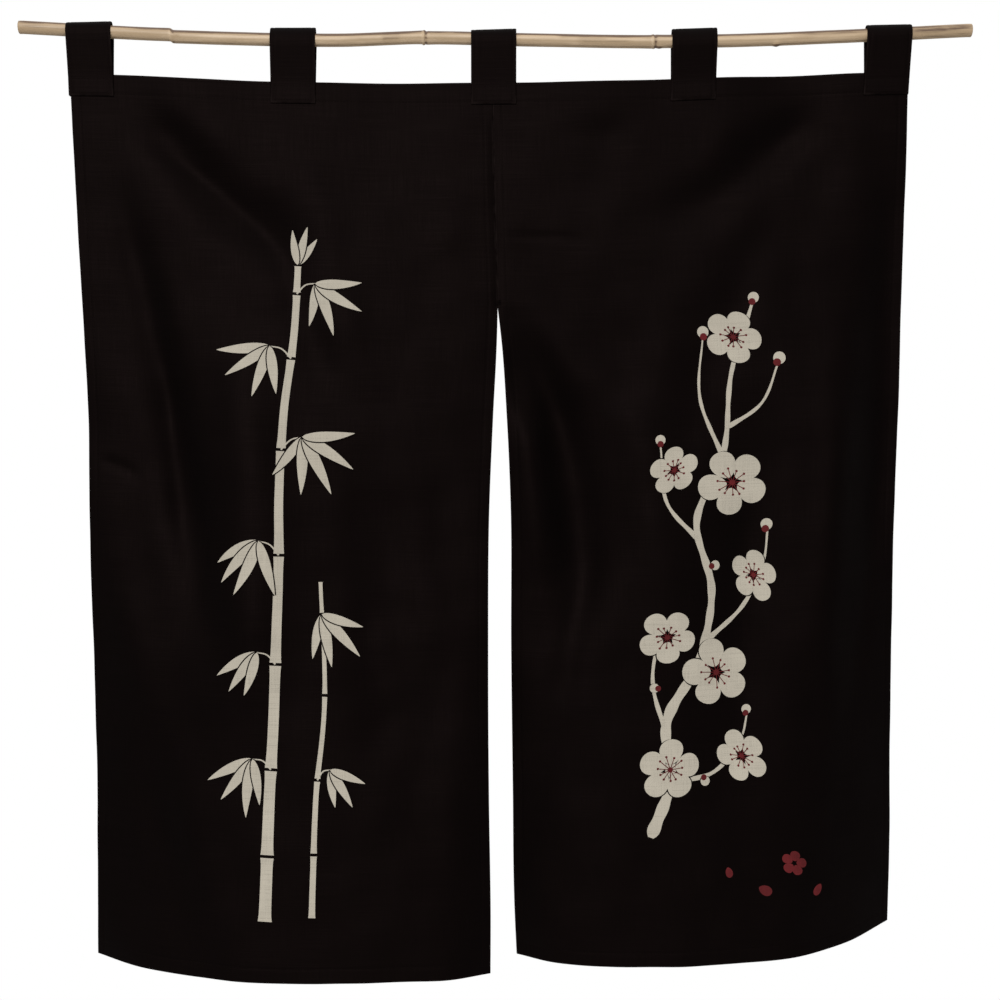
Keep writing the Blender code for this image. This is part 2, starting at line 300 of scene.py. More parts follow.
def fold_depth(fold, x, drop):
    x0, drop0, x1, drop1, bow, depth, width0, width1 = fold
    run_x, run_drop = x1 - x0, drop1 - drop0
    length = hypot(run_x, run_drop)
    along = ((x - x0) * run_x + (drop - drop0) * run_drop) / length ** 2
    aside = ((x - x0) * run_drop - (drop - drop0) * run_x) / length
    aside = aside - 4 * bow * along * (1 - along)
    width = width0 + (width1 - width0) * np.clip(along, 0, 1)
    fade = smooth_step(along / FOLD_FADE) * smooth_step((1 - along) / FOLD_FADE)
    return depth * bell(aside, width) * fade


def swag_depth(x, drop):
    """Bow of the cloth between neighbouring tabs, which fades below the top edge."""
    total = np.zeros_like(x)
    for before, after, depth in zip(TABS, TABS[1:], SWAGS):
        start = before.bottom_x + TAB_WIDTH / 2
        end = after.bottom_x - TAB_WIDTH / 2
        t = np.clip((x - start) / (end - start), 0, 1)
        total = total + depth * np.sin(pi * t) ** 2
    return total * bell(drop - top_drop(x), SWAG_REACH)


def relief(side, x, drop):
    """Creases, ripples and the groove of the seam, with none of them under the tabs."""
    depth = sum(fold_depth(crease, x, drop) for crease in CREASES[side])
    for ripple in RIPPLES:
        turns = ripple.across * x + ripple.down * drop
        depth = depth + ripple.height * np.sin(2 * pi * turns + ripple.phase)
    from_seam = x - EDGES["seam"](drop)
    sewn = 1 - smooth_step((drop - SLIT_HEAD_DROP) / SEAM_GROOVE_WIDTH / 4)
    depth = depth + SEAM_GROOVE * sewn * bell(from_seam, SEAM_GROOVE_WIDTH)
    return depth * smooth_step((drop - top_drop(x) - TAB_OVERLAP) / RELIEF_START)


def cloth_depth(side, across, down, x, drop):
    """How far the middle of the cloth lies behind the rod's axis."""
    hem = HEMS[side]
    slit_length = hem["drop"](across) - SLIT_HEAD_DROP
    below_head = np.clip((drop - SLIT_HEAD_DROP) / slit_length, 0, 1)
    depth = hem["curl"](across) * down
    depth = depth + hem["turn"](across) * below_head
    for fold in FOLDS[side]:
        depth = depth + fold_depth(fold, x, drop)
    return depth + swag_depth(x, drop) + relief(side, x, drop)


def panel_row(side, across, down):
    """Points of a panel at the fraction down of its height, at each fraction across."""
    hem_drop = HEMS[side]["drop"](across)
    drop = down * hem_drop
    for _ in range(4):
        left, right = panel_sides(side, drop)
        x = left + (right - left) * across
        drop = top_drop(x) + down * (hem_drop - top_drop(x))
    return join(x, cloth_depth(side, across, down, x, drop), -drop)


def even_along(points, fractions):
    """Fractions of an index along points, so that they are evenly spaced along the line."""
    steps = np.linalg.norm(np.diff(points, axis=0), axis=1)
    lengths = np.concatenate(((0,), np.cumsum(steps)))
    return np.interp(fractions * lengths[-1], lengths, np.linspace(0, 1, len(points)))


def depth_at(x, drop):
    """Depth of the middle of the cloth at a place seen from the front."""
    side = "left" if x < EDGES["seam"](drop) else "right"
    left, right = panel_sides(side, drop)
    across = np.clip((x - left) / (right - left), 0, 1)
    down = (drop - top_drop(x)) / (HEMS[side]["drop"](across) - top_drop(x))
    return cloth_depth(side, across, down, x, drop)


def rod_axis(x):
    """Depth and height of the rod's axis, level in the last bit at each end."""
    x = np.clip(x, ROD_LEFT + ROD_END_LENGTH, ROD_RIGHT - ROD_END_LENGTH)
    return ROD_AXIS["depth"](x), ROD_AXIS["height"](x)


def between(stations, at):
    """Number of the station before each place, and the part of the way to the next one."""
    i = np.clip(np.searchsorted(stations, at) - 1, 0, len(stations) - 2)
    return i, ((at - stations[i]) / (stations[i + 1] - stations[i]))[..., None]


class Cloth:
    """A sewn sheet: the grid of its middle, and a face in front of it and one behind."""

    def __init__(self, across, down, middle, front_lift, back_lift):
        self.across = across
        self.down = down
        self.along = unit(np.gradient(middle, across, axis=1))
        self.fall = unit(np.gradient(middle, down, axis=0))
        self.normal = unit(np.cross(self.fall, self.along))
        self.front = middle + self.normal * front_lift[..., None]
        self.back = middle - self.normal * back_lift[..., None]

    def at(self, places, lift=0):
        """Points on the front face at places (..., 2), lifted off it."""
        i, s = between(self.down, places[..., 1])
        j, t = between(self.across, places[..., 0])
        corners = self.front + self.normal * lift
        upper = corners[i, j] * (1 - t) + corners[i, j + 1] * t
        lower = corners[i + 1, j] * (1 - t) + corners[i + 1, j + 1] * t
        return upper * (1 - s) + lower * s

    def rim(self):
        """Grid places around the edge, and the way out of the cloth at each."""
        rows, columns = self.front.shape[:2]
        forth, back = slice(None, -1), slice(None, 0, -1)
        i, j = (np.concatenate((index[0, forth], index[forth, -1], index[-1, back], index[back, 0]))
                for index in np.indices((rows, columns)))
        sideways = 1 * (j == columns - 1) - (j == 0)
        downwards = 1 * (i == rows - 1) - (i == 0)
        out = self.along[i, j] * sideways[:, None] + self.fall[i, j] * downwards[:, None]
        return i, j, unit(out)

    def build(self, name, material):
        """Close the two faces into one sheet with a rounded, folded edge."""
        rows, columns = self.front.shape[:2]
        i, j, out = self.rim()
        middle = (self.front[i, j] + self.back[i, j]) / 2 + out * EDGE_ROUND
        points = np.concatenate((self.front.reshape(-1, 3), self.back.reshape(-1, 3), middle))

        front_faces = grid_faces(rows, columns)
        faces = [front_faces, front_faces[:, (0, 3, 2, 1)] + rows * columns]
        front = i * columns + j
        back = front + rows * columns
        edge = np.arange(len(i)) + 2 * rows * columns
        for first, second in ((front, edge), (edge, back)):
            faces.append(join(first, np.roll(first, -1), np.roll(second, -1), second))

        across, down = np.meshgrid(self.across, self.down)
        marks = join(across, down, edge_distance(self.across, self.down))
        marks = np.concatenate((marks.reshape(-1, 3), marks.reshape(-1, 3), marks[i, j]))
        return make_piece(name, points, np.concatenate(faces), material, marks)


def add_object(name, data):
    made = bpy.data.objects.new(name, data)
    bpy.context.scene.collection.objects.link(made)
    return made


def make_piece(name, points, faces, material, marks=None):
    """A smooth piece, with the marks that its material reads: three numbers for each point."""
    mesh = bpy.data.meshes.new(name)
    mesh.from_pydata(np.asarray(points).tolist(), [], np.asarray(faces).tolist())
    mesh.shade_smooth()
    mesh.materials.append(material)
    if marks is not None:
        attribute = mesh.attributes.new("marks", "FLOAT_VECTOR", "POINT")
        attribute.data.foreach_set("vector", marks.astype(np.float32).ravel())
    piece = add_object(name, mesh)
    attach(piece, "root")
    return piece


def edge_distance(across, down):
    """Distance of each grid place from the nearest edge of the cloth."""
    return np.minimum(from_ends(across)[None, :], from_ends(down)[:, None])


def edge_rounding(across, down):
    """How much of its thickness the cloth keeps at each grid place."""
    inwards = smooth_step(edge_distance(across, down) / EDGE_WIDTH)
    return EDGE_SHAPE + (1 - EDGE_SHAPE) * inwards


def stations(length, start_hem, end_hem):
    """Places from edge to edge, close together at folded edges and hem stitches."""
    places = []
    for hem, edge, inwards in ((start_hem, 0, 1), (end_hem, length, -1)):
        places += [edge + inwards * step for step in NEAR_EDGE]
        places += [edge + inwards * (hem.stitch + step) for step in NEAR_STITCH]
    places = sorted(place for place in places if 0 <= place <= length)
    apart = [places[0]]
    for place in places[1:-1]:
        if place - apart[-1] > FINE_STEP and length - place > FINE_STEP:
            apart.append(place)
    apart.append(length)
    filled = [0]
    for place in apart[1:]:
        count = ceil((place - filled[-1]) / GRID_STEP)
        filled += list(np.linspace(filled[-1], place, count + 1)[1:])
    return np.array(filled)


def panel_lifts(across, down):
    """How far the two faces stand off the middle of a panel, with its turned hems."""
    layers = 0
    dent = 0
    for distance, hem in ((from_ends(across)[None, :], SIDE_HEM), (down[:, None], TOP_HEM),
                          ((down[-1] - down)[:, None], BOTTOM_HEM)):
        layers = np.maximum(layers, smooth_step((hem.width - distance) / HEM_STEP))
        dent = np.maximum(dent, bell(distance - hem.stitch, DENT_WIDTH))
    rounded = edge_rounding(across, down)
    return (CLOTH / 2 - DENT * dent) * rounded, (CLOTH / 2 + HEM_LAYERS * layers) * rounded


def panel_cloth(side):
    width, length = PANEL_FLAT
    across = stations(width, SIDE_HEM, SIDE_HEM)
    down = stations(length, TOP_HEM, BOTTOM_HEM)
    fine = np.linspace(0, 1, 2 * len(across))
    rows = []
    for fraction in down / length:
        even = even_along(panel_row(side, fine, fraction), across / width)
        rows.append(panel_row(side, even, fraction))
    return Cloth(across, down, np.array(rows), *panel_lifts(across, down))


def leg_points(x, rise, facing):
    """Half of a tab's section, from the sewn end to the crease over the rod.

    Each point is (depth, height). The facing is -1 in front of the cloth and 1 behind it.
    """
    axis_depth, axis_height = rod_axis(x)
    edge_drop = top_drop(x)
    panel_face = CLOTH / 2 + (HEM_LAYERS if facing > 0 else 0)
    spacing = facing * (panel_face + SEWN_GAP + STRAP / 2)
    points = []
    for part in np.linspace(1, 0, 6):
        drop = edge_drop + TAB_OVERLAP * part
        points.append((depth_at(x, drop) + spacing, -drop))

    radius = ROD_RADIUS + ROD_CLEARANCE + TAB_THICKNESS / 2
    lowest = points[-1]
    out = facing * (lowest[0] - axis_depth)
    below = lowest[1] - axis_height
    leg_angle = atan2(out, below) - acos(radius / hypot(out, below))

    crease_height = rise - TAB_CREASE_RADIUS - TAB_THICKNESS / 2
    crease_angle = acos(min(1, (radius - TAB_CREASE_RADIUS) / crease_height))
    for up, reach, angles in ((0, radius, np.linspace(leg_angle, crease_angle, 14)),
                              (crease_height, TAB_CREASE_RADIUS, np.linspace(crease_angle, 0, 7))):
        for angle in angles:
            points.append((axis_depth + facing * reach * sin(angle), axis_height + up + reach * cos(angle)))
    return points


def strap_cloth(tab):
    """A tab's strap, whose places run down from its back end, over the rod, to its front end."""
    end_hem = Hem(0, STRAP_BOX[1])
    edge_hem = Hem(0, STRAP_STITCH)
    across = stations(TAB_WIDTH, edge_hem, edge_hem)
    down = stations(STRAP_LENGTH, end_hem, end_hem)
    columns = []
    for place in across:
        x = tab.bottom_x - TAB_WIDTH / 2 + place
        rise = tab.rise_left + (tab.rise_right - tab.rise_left) * place / TAB_WIDTH
        front = leg_points(x, rise, -1)
        back = leg_points(x, rise, 1)
        section = np.array(back + front[-2::-1])
        depth, height = read_path(section, even_along(section, down / STRAP_LENGTH)).T
        lean = (tab.top_x - tab.bottom_x) * (height - height.min()) / (height.max() - height.min())
        columns.append(join(x + lean, depth, height))
    middle = np.array(columns).transpose(1, 0, 2)
    for _ in range(3):
        middle[1:-1] = (middle[:-2] + 2 * middle[1:-1] + middle[2:]) / 4

    dent = np.maximum(bell(from_ends(across)[None, :] - STRAP_STITCH, DENT_WIDTH),
                      bell(from_ends(down)[:, None] - end_hem.stitch, DENT_WIDTH))
    rounded = edge_rounding(across, down)
    return Cloth(across, down, middle, (STRAP / 2 - DENT * dent) * rounded, STRAP / 2 * rounded)


# Running stitches
STITCH_PITCH = 0.0031
STITCH_LENGTH = 0.0023
STITCH_RADIUS = 0.00024
STITCH_SIDES = 6
BAR_THREADS = 6
BAR_PITCH = 0.0009
BAR_ABOVE = 0.0030
BAR_REACH = 0.0042
BAR_LIFT = 0.0002
STITCH_RINGS = table(
    "along girth lift",
    (0, 0.35, -0.0003),
    (0.16, 0.9, 0.00004),
    (0.5, 1, 0.0001),
    (0.84, 0.9, 0.00004),
    (1, 0.35, -0.0003),
)


def add_threads(name, starts, ends, normals, material):
    """One mesh of short bars of thread that dive into the cloth at both ends."""
    run = ends - starts
    side = unit(np.cross(run, normals))
    rings = []
    for ring in STITCH_RINGS:
        centre = starts + run * ring.along + normals * ring.lift
        for angle in round_turn(STITCH_SIDES):
            around = normals * cos(angle) + side * sin(angle)
            rings.append(centre + around * STITCH_RADIUS * ring.girth)
    points = np.stack(rings, axis=1)

    quads = tube_faces(len(STITCH_RINGS), STITCH_SIDES)
    faces = [quads + n * points.shape[1] for n in range(len(starts))]
    return make_piece(name, points.reshape(-1, 3), np.concatenate(faces), material)


def add_stitches(name, cloth, lines, material):
    """Rows of running stitches along lines between two places on a cloth."""
    starts, ends = [], []
    for start, end in np.array(lines):
        length = np.linalg.norm(end - start)
        heading = (end - start) / length
        steps = np.arange(int(length / STITCH_PITCH))[:, None] * STITCH_PITCH
        starts.append(start + heading * steps)
        ends.append(starts[-1] + heading * STITCH_LENGTH)
    starts, ends = np.concatenate(starts), np.concatenate(ends)
    middles = (starts + ends) / 2
    step = 0.001
    normals = (cloth.at(middles, step) - cloth.at(middles)) / step
    return add_threads(name, cloth.at(starts), cloth.at(ends), normals, material)


def panel_stitch_lines():
    width, length = PANEL_FLAT
    lines = []
    for across in (SIDE_HEM.stitch, width - SIDE_HEM.stitch):
        lines.append(((across, STITCH_INSET), (across, length - STITCH_INSET)))
    for down in (length - BOTTOM_HEM.stitch, TOP_HEM.stitch, TOP_EDGE_STITCH):
        lines.append(((STITCH_INSET, down), (width - STITCH_INSET, down)))
    return lines


def strap_stitch_lines():
    """Lines along both edges of a strap, and a box at each end where it is sewn on."""
    left, right = STRAP_STITCH, TAB_WIDTH - STRAP_STITCH
    lines = [((edge, STITCH_INSET), (edge, STRAP_LENGTH - STITCH_INSET)) for edge in (left, right)]
    for down in (*STRAP_BOX, STRAP_LENGTH - STRAP_BOX[1], STRAP_LENGTH - STRAP_BOX[0]):
        lines.append(((left, down), (right, down)))
    return lines


# Print: shapes of ink laid on the cloth's front face, over each other in layers
INK_LIFT = 0.00016
INK_LAYER = 0.00007
INK_STEP = 0.0028
INK_FROM_EDGE = 0.05
PRINT_SEED = 7
HALO = 0.0012
DOT_TIP = 0.00005


def smooth_path(points, step):
    """Points a step apart on the smooth curve through a few places."""
    points = np.array(points, float)
    keys = np.concatenate(((0,), np.cumsum(np.linalg.norm(np.diff(points, axis=0), axis=1))))
    at = np.linspace(0, keys[-1], max(4, round(keys[-1] / step)) + 1)
    return join(*(smooth_curve(keys, column, at) for column in points.T))


def brush(spine, half_widths):
    """Grid of places that a brush covers along a spine."""
    run = unit(np.gradient(spine, axis=0))
    aside = join(run[:, 1], -run[:, 0])
    columns = max(2, ceil(2 * np.max(half_widths) / INK_STEP)) + 1
    offsets = np.linspace(-1, 1, columns)
    spread = half_widths[:, None, None] * offsets[None, :, None]
    return spine[:, None, :] + aside[:, None, :] * spread


class Print:
    """One colour of ink on one cloth."""

    def __init__(self, cloth):
        self.cloth = cloth
        self.points, self.marks, self.faces = [], [], []
        self.count = 0

    def lay(self, places, layer):
        rows, columns = places.shape[:2]
        self.faces.append(grid_faces(rows, columns) + self.count)
        self.points.append(self.cloth.at(places, INK_LIFT + INK_LAYER * layer).reshape(-1, 3))
        flat = places.reshape(-1, 2)
        self.marks.append(np.concatenate((flat, np.full((len(flat), 1), INK_FROM_EDGE)), axis=1))
        self.count += rows * columns

    def build(self, name, material):
        points, marks = np.concatenate(self.points), np.concatenate(self.marks)
        return make_piece(name, points, np.concatenate(self.faces), material, marks)


class Inks:
    """The cream and red prints of one panel, and dark outlines where shapes cross."""

    def __init__(self, cloth):
        self.cream, self.red, self.dark = Print(cloth), Print(cloth), Print(cloth)

    def shape(self, spine, half_widths, layer):
        """A cream shape with a dark outline under it."""
        self.dark.lay(brush(spine, half_widths + HALO), layer)
        self.cream.lay(brush(spine, half_widths), layer + 1)


def dot(place, radius, steps=10):
    """Spine and half widths of a round dot."""
    t = -np.cos(np.linspace(0, pi, steps + 1))
    spine = join(np.full_like(t, place[0]), place[1] + radius * t)
    return spine, radius * np.sqrt(np.maximum(1 - t * t, 0)) + DOT_TIP


# Bamboo on the left panel: a tall stalk, a thin one, and sprays of leaves on twigs
STALKS = table(
    "points foot_width tip_width joints",
    (((0.243, 0.842), (0.247, 0.730), (0.257, 0.610), (0.254, 0.505)), 0.0062, 0.0036,
          (0.00, 0.19, 0.41, 0.66, 0.90, 1.00)),
    (((0.196, 0.846), (0.201, 0.700), (0.211, 0.520), (0.214, 0.360), (0.225, 0.186)), 0.0125, 0.0066,
          (0.00, 0.10, 0.23, 0.39, 0.555, 0.715, 0.855, 0.955, 1.00)),
)
STALK_STEP = 0.0020
JOINT_GAP = 0.0030
STALK_FLARE = 0.15

# A spray hangs from the tip of a twig. Headings are degrees from straight down to the right.
SPRAYS = table(
    "stalk joint across down heading leaves length",
    (1, 8, 0, 0, 168, 3, 0.04),
    (1, 7, 0.02, -0.01, 40, 4, 0.056),
    (1, 6, -0.022, -0.012, -34, 4, 0.06),
    (1, 5, 0.021, -0.013, 30, 5, 0.066),
    (1, 4, -0.02, -0.014, -30, 4, 0.064),
    (0, 4, 0, 0, 24, 4, 0.056),
    (1, 3, -0.018, -0.012, -38, 3, 0.052),
    (0, 2, 0.013, -0.01, 36, 3, 0.046),
    (1, 2, -0.019, -0.01, -26, 4, 0.058),
)
LEAF_SPREAD = 29
LEAF_LENGTH = 0.060
LEAF_WIDTH = 0.0108
LEAF_TIP = 0.00015
TWIG_WIDTH = 0.0018
TWIG_TIP_WIDTH = 0.6 * TWIG_WIDTH
TWIG_BOW = 0.0040


def lay_stalk(inks, stalk, layer):
    """The stretches of a bamboo stalk, each a little wider at its ends."""
    path = smooth_path(stalk.points, STALK_STEP)
    length = np.linalg.norm(np.diff(path, axis=0), axis=1).sum()
    for start, end in zip(stalk.joints, stalk.joints[1:]):
        gap = JOINT_GAP / 2 / length
        count = max(6, round((end - start) * length / INK_STEP))
        fractions = np.linspace(start + gap, end - gap, count)
        spine = read_path(path, fractions)
        width = stalk.foot_width + (stalk.tip_width - stalk.foot_width) * fractions
        t = np.linspace(-1, 1, len(spine))
        inks.shape(spine, width / 2 * (1 + STALK_FLARE * np.abs(t) ** 7), layer)


def lay_leaf(inks, start, heading, length, bend, layer):
    """A long pointed leaf, widest in its first third, that curves as it goes."""
    t = np.linspace(0, 1, 22)
    angle = np.radians(heading + bend * t)
    steps = join(np.sin(angle), np.cos(angle)) * length / (len(t) - 1)
    spine = np.array(start) + np.concatenate((np.zeros((1, 2)), np.cumsum(steps[:-1], axis=0)))
    half = LEAF_WIDTH / 2 * (length / LEAF_LENGTH) ** 0.6 * np.sin(pi * t ** 0.72) ** 0.85
    inks.shape(spine, half + LEAF_TIP, layer)


def lay_bamboo(inks, rng):
    for stalk in STALKS:
        lay_stalk(inks, stalk, 0)
    for spray in SPRAYS:
        stalk = STALKS[spray.stalk]
        root = read_path(smooth_path(stalk.points, STALK_STEP), stalk.joints[spray.joint])
        tip = root + np.array((spray.across, spray.down))
        if spray.across:
            bow = (root + tip) / 2 - np.array((0, TWIG_BOW))
            twig = smooth_path((root, bow, tip), STALK_STEP)
            inks.cream.lay(brush(twig, np.linspace(TWIG_WIDTH, TWIG_TIP_WIDTH, len(twig)) / 2), 1)
        for n in range(spray.leaves):
            aside = n - (spray.leaves - 1) / 2
            heading = spray.heading + LEAF_SPREAD * aside + rng.uniform(-5, 5)
            length = spray.length * (1 - 0.10 * abs(aside)) * rng.uniform(0.90, 1.08)
            lay_leaf(inks, tip, heading, length, rng.uniform(-16, 16), 2 + 2 * n)


# Plum on the right panel: a branch that climbs from lower left to upper right, with twigs
BRANCHES = table(
    "points start_width end_width",
    (((0.146, 0.772), (0.166, 0.715), (0.163, 0.655), (0.197, 0.590), (0.212, 0.520), (0.198, 0.450),
            (0.228, 0.378), (0.236, 0.300), (0.262, 0.228)), 0.0126, 0.0031),
    (((0.164, 0.668), (0.148, 0.610), (0.157, 0.552)), 0.0055, 0.0019),
    (((0.2040, 0.572), (0.246, 0.538), (0.270, 0.490), (0.2735, 0.459)), 0.0058, 0.0017),
    (((0.200, 0.468), (0.168, 0.430), (0.163, 0.372)), 0.0053, 0.0018),
    (((0.2315, 0.354), (0.266, 0.331), (0.285, 0.290)), 0.0046, 0.0017),
    (((0.226, 0.382), (0.203, 0.318), (0.208, 0.262)), 0.0046, 0.0017),
    (((0.1665, 0.714), (0.214, 0.706), (0.246, 0.670), (0.2510, 0.648)), 0.0058, 0.0017),
)

# Blossoms on the branches, and last the red one that has dropped
*BLOSSOMS, FALLEN_BLOSSOM = table(
    "across down radius turn lean squeeze",
    (0.240, 0.262, 0.0313, 12, 30, 0.86),
    (0.176, 0.396, 0.0281, 40, -40, 0.78),
    (0.236, 0.410, 0.0356, -8, 0, 0.94),
    (0.259, 0.506, 0.0286, 25, 60, 0.80),
    (0.163, 0.566, 0.0313, 5, -20, 0.88),
    (0.216, 0.604, 0.0373, 50, 15, 0.93),
    (0.244, 0.692, 0.0297, -18, 50, 0.82),
    (0.166, 0.702, 0.0335, 31, -35, 0.90),
    (0.296, 0.806, 0.0150, 20, 35, 0.80),
)
BUDS = table(
    "across down radius heading",
    (0.2635, 0.2225, 0.0056, 160), (0.2865, 0.285, 0.0064, 150),
    (0.2085, 0.256, 0.006, 185), (0.163, 0.365, 0.0052, 180),
    (0.2725, 0.454, 0.006, 165), (0.2165, 0.494, 0.005, 100),
    (0.15, 0.618, 0.0048, -95), (0.25, 0.644, 0.005, 170),
    (0.203, 0.715, 0.005, 20),
)

# Red petals that have dropped beside the fallen blossom
FALLEN_PETALS = table(
    "across down length heading",
    (0.258, 0.828, 0.015, 60),
    (0.327, 0.833, 0.013, -35),
    (0.225, 0.805, 0.011, 15),
)
BRANCH_STEP = 0.0025

# Parts of a blossom, a bud and a fallen petal: shares of its radius or length, or metres
PETALS = 5
PETAL_START = 0.17
PETAL_HALF_WIDTH = 0.385
PETAL_TIP = 0.00008
EYE_RADIUS = 0.085
STAMENS = 11
STAMEN_START = 0.07
STAMEN_HALF_WIDTH = 0.00042
ANTHER_RADIUS = 0.00125
CUP_RADIUS = 0.62
CUP_BACK = 0.80
FALLEN_HALF_WIDTH = 0.34


def way_to(heading):
    """Step of length 1 at degrees from straight down to the right."""
    return np.array((sin(radians(heading)), cos(radians(heading))))


def petal(heading, start, end, half_width):
    """Spine and half widths of a round petal, from near the middle of its blossom outwards."""
    t = (1 - np.cos(np.linspace(0, pi, 15))) / 2
    spine = (start + (end - start) * t)[:, None] * way_to(heading)
    rounded = np.sqrt(np.maximum(1 - (1 - 2 * t ** 1.25) ** 2, 0))
    return spine, half_width * rounded + PETAL_TIP


def squash_matrix(blossom):
    """The blossom seen aslant: narrower along one direction."""
    lean = radians(blossom.lean)
    turn = np.array(((cos(lean), -sin(lean)), (sin(lean), cos(lean))))
    return turn @ np.diag((1, blossom.squeeze)) @ turn.T


def lay_blossom(inks, blossom, rng, layer, red=False):
    centre = np.array(blossom[:2])
    squash = squash_matrix(blossom)
    radius = blossom.radius

    def aslant(spine, half):
        return centre + brush(spine, half) @ squash

    for n in range(PETALS):
        heading = blossom.turn + 360 / PETALS * n + rng.uniform(-3, 3)
        reach = radius * rng.uniform(0.95, 1.03)
        spine, half = petal(heading, radius * PETAL_START, reach, radius * PETAL_HALF_WIDTH)
        colour = inks.red if red else inks.cream
        colour.lay(aslant(spine, half), layer + 1)
        if not red:
            inks.dark.lay(aslant(spine, half + HALO), layer)
    if red:
        return
    inks.red.lay(aslant(*dot((0, 0), radius * EYE_RADIUS)), layer + 3)
    for n in range(STAMENS):
        way = way_to(360 / STAMENS * n + rng.uniform(-6, 6))
        reach = radius * rng.uniform(0.34, 0.46)
        spine = np.linspace(radius * STAMEN_START, reach, 7)[:, None] * way
        inks.red.lay(aslant(spine, np.full(7, STAMEN_HALF_WIDTH)), layer + 2)
        inks.red.lay(aslant(*dot(way * reach, ANTHER_RADIUS, 6)), layer + 3)


def lay_bud(inks, bud, layer):
    """A round bud in a red cup."""
    centre = np.array(bud[:2])
    inks.shape(*dot(centre, bud.radius), layer)
    cup = centre - way_to(bud.heading) * bud.radius * CUP_BACK
    inks.red.lay(brush(*dot(cup, bud.radius * CUP_RADIUS)), layer + 2)


def lay_plum(inks, rng):
    for branch in BRANCHES:
        spine = smooth_path(branch.points, BRANCH_STEP)
        t = np.linspace(0, 1, len(spine))
        width = branch.start_width + (branch.end_width - branch.start_width) * t
        knots = 1 + 0.10 * np.sin(len(spine) * 0.6 * t) + 0.06 * np.sin(len(spine) * 0.23 * t + 1)
        from_foot = np.minimum(t * (len(spine) - 1) * BRANCH_STEP / branch.start_width, 1)
        rounded = np.sqrt(1 - 0.8 * (1 - from_foot) ** 2)
        inks.cream.lay(brush(spine, width / 2 * knots * rounded), 1)
    for bud in BUDS:
        lay_bud(inks, bud, 2)
    for blossom in BLOSSOMS:
        lay_blossom(inks, blossom, rng, 3)
    lay_blossom(inks, FALLEN_BLOSSOM, rng, 1, red=True)
    for fallen in FALLEN_PETALS:
        shape = brush(*petal(fallen.heading, 0, fallen.length, fallen.length * FALLEN_HALF_WIDTH))
        inks.red.lay(np.array(fallen[:2]) + shape, 1)


# Bamboo cane
JOINTS = table(
    "x ring jog tint",
    (-0.3211, 0.022, -0.001, 0.35),
    (-0.066, 0.125, -0.0003, 0.8),
    (0.1659, 0.08, 0.0002, 0.75),
)
JOG_WIDTH = 0.0015
JOG_FADE = 0.045
RING_WIDTH = 0.0011
RING_SLANT = 0.0006
RING_GROOVE = 0.40
BROWN_RING = 0.0022
BROWN_RING_WIDTH = 0.0016
PALE_RING = -0.0010
PALE_RING_WIDTH = 0.0014
PALE_RING_TINT = 0.45
JOINT_SWELL = 0.30
JOINT_SWELL_WIDTH = 0.0075
CANE_STEP = 0.0022
CANE_FINE_STEP = 0.0005
CANE_FINE_REACH = 0.0060
CANE_SIDES = 88
CANE_BORE = 0.0021
CANE_BORE_LENGTH = 0.0140
CANE_BEVEL = 0.0003
CANE_BUMP = 0.00012
CANE_WAVE = 0.004

# The rings of a sawn end, from its rim to the bottom of its bore: the share of the cane's
# radius, whether the ring lies inside, and how dark it is, the dark in the bore being painted shade
CANE_END = table(
    "share inside kind",
    (1, 0, 0.5),
    (0.72, 0, 0.5),
    (CANE_BORE / ROD_RADIUS, 0, 0.7),
    (CANE_BORE / ROD_RADIUS, 1, 1),
    (0.02, 1, 1),
)

# Scars where a twig grew. Angles are degrees from the top of the cane over its front.
SCARS = table(
    "x angle size height tint",
    (0.2904, 160, 0.0034, 0.0019, 1.1),
    (0.172, 165, 0.003, 0.0011, 0.8),
    (-0.06, 60, 0.0024, 0.0005, 0.35),
    (-0.315, 75, 0.003, 0.0006, 0.3),
)

# Brown streaks along the cane, and pale ones below zero. The wide rows at 26 and 52 degrees
# that run the whole length darken the cane's top as painted shade, and the pale rows are painted
# light and highlights on its front and lower front.
STREAKS_AND_PAINTED_LIGHT = table(
    "x0 x1 angle width tint",
    (-0.49, -0.06, 48, 9, 0.8), (-0.075, 0.5, 50, 9, 0.8), (-0.49, 0.5, 52, 24, 0.42),
    (-0.49, 0.5, 152, 7, 0.5), (-0.49, 0.5, 124, 14, -0.65), (-0.49, 0.5, 142, 10, -0.45),
    (-0.49, 0.5, 26, 18, 0.6), (-0.4, 0.4, 86, 18, -0.6), (-0.32, 0.16, 110, 6, 0.17),
    (0.17, 0.5, 112, 7, 0.2), (0.4, 0.5, 70, 40, 0.3), (-0.48, -0.385, 96, 10, 0.25),
    (-0.48, -0.425, 46, 20, 0.55), (-0.48, -0.33, 40, 10, 0.35), (-0.38, -0.325, 128, 18, 0.3),
    (-0.34, -0.27, 52, 9, 0.75), (-0.29, -0.205, 48, 8, 0.6), (-0.31, -0.08, 142, 15, 0.3),
    (-0.18, -0.07, 60, 10, 0.45), (-0.11, -0.088, 100, 26, 0.7), (-0.06, 0.01, 120, 16, 0.3),
    (0.02, 0.09, 132, 15, 0.39), (0.06, 0.16, 52, 12, 0.5), (0.08, 0.185, 126, 18, 0.47),
    (0.085, 0.15, 92, 24, 0.5), (0.19, 0.31, 50, 9, 0.6), (0.2, 0.42, 135, 13, 0.33),
    (0.3, 0.4, 78, 10, 0.35), (0.425, 0.49, 84, 14, 0.5), (0.425, 0.49, 140, 16, 0.33),
    (-0.46, -0.35, 70, 12, -0.5), (-0.3, -0.12, 92, 16, -0.6), (0.025, 0.075, 76, 16, -0.8),
    (0.11, 0.16, 84, 10, -0.7), (0.2, 0.33, 84, 16, -0.55), (0.32, 0.39, 100, 16, -0.45),
)


def turned_from(angle, degrees):
    """How far each angle is turned from a direction, the short way round."""
    return np.angle(np.exp(1j * (angle - radians(degrees))))


